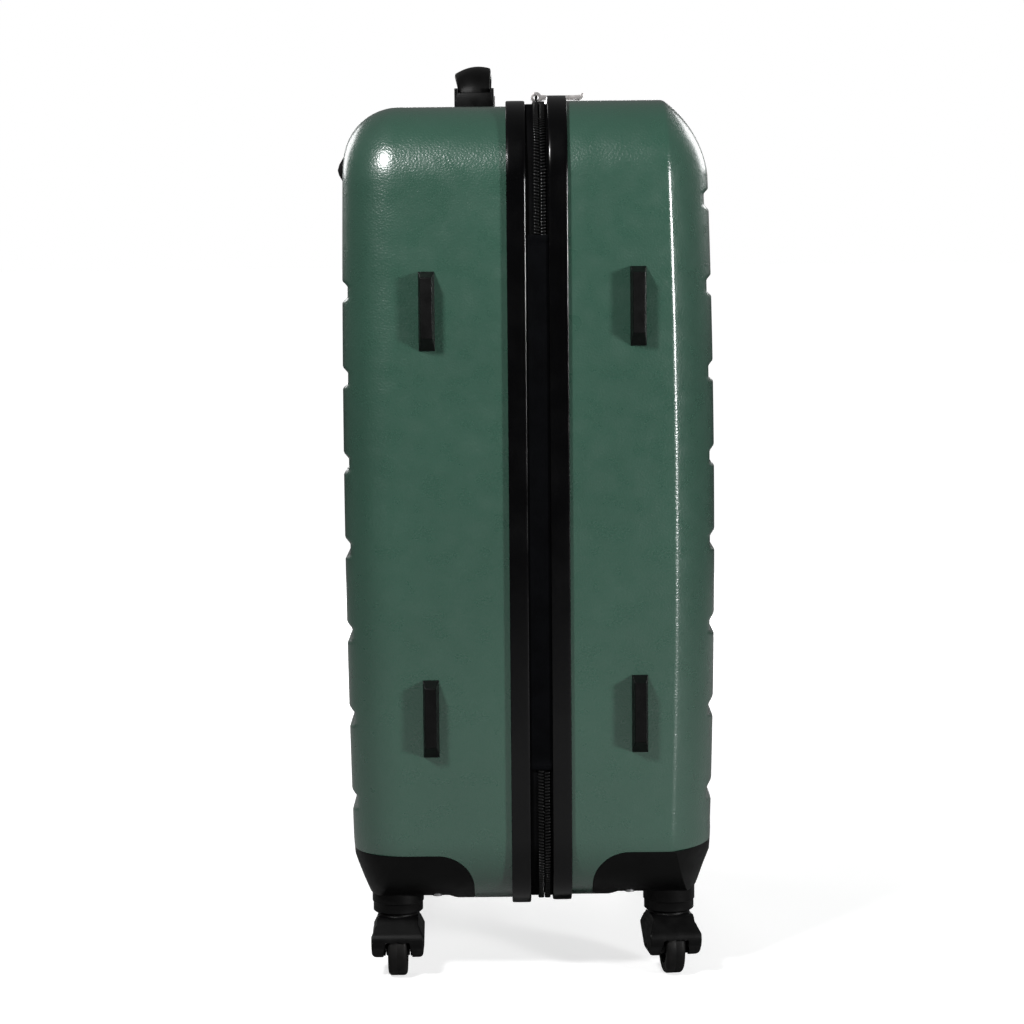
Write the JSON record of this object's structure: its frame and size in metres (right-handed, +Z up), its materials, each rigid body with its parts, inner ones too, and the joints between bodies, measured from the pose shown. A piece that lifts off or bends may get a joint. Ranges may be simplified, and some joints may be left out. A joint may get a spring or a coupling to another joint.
{
  "type": "hard shell suitcase",
  "caption": "Upright hard shell suitcase with two zipped halves, black edge frames, spinner casters, carry handles, pull-out trolley handle, side feet and a combination lock.",
  "frame": {"origin": "on the floor under the middle of the overall box", "axes": "+X from the rear half to the front half (the lid), +Y from the hinge side to the opening side, +Z up"},
  "size_m": [0.317, 0.555, 0.7672],
  "materials": {
    "shell": "semi-gloss ABS with a fine leather grain",
    "frame": "high gloss",
    "zip_tape": "woven polyester",
    "zip_teeth": "moulded nylon coil",
    "slider": "gloss black lacquer",
    "pull_metal": "polished",
    "black_plastic": "fine spark grain",
    "grip_rubber": "soft matt",
    "steel": "zinc plated",
    "tube": "satin anodised",
    "button": "satin",
    "lining": "plain woven polyester",
    "webbing": "woven webbing",
    "pocket_mesh": "knitted mesh",
    "lock_body": "satin",
    "dial": "moulded, with numbers",
    "guard": "fine spark grain",
    "fork": "fine spark grain",
    "hub": "moulded",
    "tyre": "satin rubber"
  },
  "bodies": {
    "rear_half": {"rear_shell": "shell", "rear_frame": "frame", "rear_zip_tape": "zip_tape", "rear_zip_teeth": "zip_teeth", "hinge_strip": "zip_tape", "rear_side_feet": "black_plastic", "rear_swivel_pins": "steel", "rear_guard_screws": "steel", "rear_hinge_guard": "guard", "rear_open_guard": "guard", "trolley_bezel": "black_plastic", "trolley_outer_tubes": "tube", "trolley_foot": "black_plastic", "top_handle_brackets": "black_plastic", "side_handle_brackets": "black_plastic", "rear_lining": "lining", "cross_straps": "webbing", "strap_buckle": "button"},
    "front_half": {"front_shell": "shell", "front_frame": "frame", "front_zip_tape": "zip_tape", "front_zip_teeth": "zip_teeth", "front_side_feet": "black_plastic", "front_swivel_pins": "steel", "front_guard_screws": "steel", "front_hinge_guard": "guard", "front_open_guard": "guard", "front_lining": "lining", "mesh_pocket": "pocket_mesh", "lock_case": "lock_body"},
    "trolley_middle": {"trolley_middle_tubes": "tube"},
    "trolley_top": {"trolley_inner_tubes": "tube", "trolley_grip": "black_plastic"},
    "trolley_release": {"trolley_button": "button"},
    "top_handle": {"top_handle_grip": "grip_rubber"},
    "side_handle": {"side_handle_grip": "grip_rubber"},
    "slider_hinge_side": {"zip_slider_hinge": "slider"},
    "slider_open_side": {"zip_slider_open": "slider"},
    "pull_hinge_side": {"zip_pull_hinge": "pull_metal"},
    "pull_open_side": {"zip_pull_open": "pull_metal"},
    "lock_release": {"lock_button": "pull_metal"},
    "dial_1": {"lock_dial_1": "dial"},
    "dial_2": {"lock_dial_2": "dial"},
    "dial_3": {"lock_dial_3": "dial"},
    "rear_hinge_swivel": {"rear_hinge_fork": "fork", "rear_hinge_axle": "steel"},
    "rear_hinge_wheel": {"rear_hinge_hub": "hub", "rear_hinge_tyre": "tyre"},
    "rear_open_swivel": {"rear_open_fork": "fork", "rear_open_axle": "steel"},
    "rear_open_wheel": {"rear_open_hub": "hub", "rear_open_tyre": "tyre"},
    "front_hinge_swivel": {"front_hinge_fork": "fork", "front_hinge_axle": "steel"},
    "front_hinge_wheel": {"front_hinge_hub": "hub", "front_hinge_tyre": "tyre"},
    "front_open_swivel": {"front_open_fork": "fork", "front_open_axle": "steel"},
    "front_open_wheel": {"front_open_hub": "hub", "front_open_tyre": "tyre"}
  },
  "joints": [
    {"name": "lid_hinge", "type": "hinge", "parent": "rear_half", "child": "front_half", "pos_m": [0.0109, -0.2685, 0.3963], "axis": [0, 0, -1], "range_deg": [0, 160]},
    {"name": "trolley_lower_stage", "type": "slide", "parent": "rear_half", "child": "trolley_middle", "axis": [0, 0, 1], "range_m": [0, 0.185]},
    {"name": "trolley_upper_stage", "type": "slide", "parent": "trolley_middle", "child": "trolley_top", "axis": [0, 0, 1], "range_m": [0, 0.185]},
    {"name": "trolley_button_press", "type": "slide", "parent": "trolley_top", "child": "trolley_release", "axis": [0, 0, -1], "range_m": [0, 0.003], "stiffness_N_per_m": 400, "springref_m": -0.002},
    {"name": "top_handle_lift", "type": "slide", "parent": "rear_half", "child": "top_handle", "axis": [0, 0, 1], "range_m": [0, 0.008], "stiffness_N_per_m": 250, "springref_m": -0.004},
    {"name": "side_handle_lift", "type": "slide", "parent": "rear_half", "child": "side_handle", "axis": [0, 1, 0], "range_m": [0, 0.008], "stiffness_N_per_m": 250, "springref_m": -0.004},
    {"name": "zip_slider_hinge_run", "type": "slide", "parent": "rear_half", "child": "slider_hinge_side", "axis": [0, -1, 0], "range_m": [0, 0.16]},
    {"name": "zip_pull_hinge_swing", "type": "hinge", "parent": "slider_hinge_side", "child": "pull_hinge_side", "pos_m": [0.013, -0.0245, 0.7413], "axis": [0, -1, 0], "range_deg": [0, 150]},
    {"name": "zip_slider_open_run", "type": "slide", "parent": "rear_half", "child": "slider_open_side", "axis": [0, 1, 0], "range_m": [0, 0.16]},
    {"name": "zip_pull_open_swing", "type": "hinge", "parent": "slider_open_side", "child": "pull_open_side", "pos_m": [0.013, -0.0005, 0.7413], "axis": [0, -1, 0], "range_deg": [0, 150]},
    {"name": "lock_button_slide", "type": "slide", "parent": "front_half", "child": "lock_release", "axis": [0, 1, 0], "range_m": [0, 0.004], "stiffness_N_per_m": 200, "springref_m": -0.002},
    {"name": "dial_1_turn", "type": "hinge", "parent": "front_half", "child": "dial_1", "pos_m": [0.058, -0.0345, 0.7265], "axis": [0, 1, 0], "continuous": true},
    {"name": "dial_2_turn", "type": "hinge", "parent": "front_half", "child": "dial_2", "pos_m": [0.058, -0.026, 0.7265], "axis": [0, 1, 0], "continuous": true},
    {"name": "dial_3_turn", "type": "hinge", "parent": "front_half", "child": "dial_3", "pos_m": [0.058, -0.0175, 0.7265], "axis": [0, 1, 0], "continuous": true},
    {"name": "rear_hinge_swivel_turn", "type": "hinge", "parent": "rear_half", "child": "rear_hinge_swivel", "pos_m": [-0.111, -0.2085, 0.05], "axis": [0, 0, 1], "continuous": true},
    {"name": "rear_hinge_wheel_spin", "type": "hinge", "parent": "rear_hinge_swivel", "child": "rear_hinge_wheel", "pos_m": [-0.111, -0.2225, 0.0225], "axis": [1, 0, 0], "continuous": true},
    {"name": "rear_open_swivel_turn", "type": "hinge", "parent": "rear_half", "child": "rear_open_swivel", "pos_m": [-0.111, 0.1835, 0.05], "axis": [0, 0, 1], "continuous": true},
    {"name": "rear_open_wheel_spin", "type": "hinge", "parent": "rear_open_swivel", "child": "rear_open_wheel", "pos_m": [-0.111, 0.1695, 0.0225], "axis": [1, 0, 0], "continuous": true},
    {"name": "front_hinge_swivel_turn", "type": "hinge", "parent": "front_half", "child": "front_hinge_swivel", "pos_m": [0.1185, -0.2085, 0.05], "axis": [0, 0, 1], "continuous": true},
    {"name": "front_hinge_wheel_spin", "type": "hinge", "parent": "front_hinge_swivel", "child": "front_hinge_wheel", "pos_m": [0.12021, -0.2224, 0.0225], "axis": [0.9925, 0.1219, 0], "continuous": true},
    {"name": "front_open_swivel_turn", "type": "hinge", "parent": "front_half", "child": "front_open_swivel", "pos_m": [0.1185, 0.1835, 0.05], "axis": [0, 0, 1], "continuous": true},
    {"name": "front_open_wheel_spin", "type": "hinge", "parent": "front_open_swivel", "child": "front_open_wheel", "pos_m": [0.1185, 0.1695, 0.0225], "axis": [1, 0, 0], "continuous": true}
  ]
}
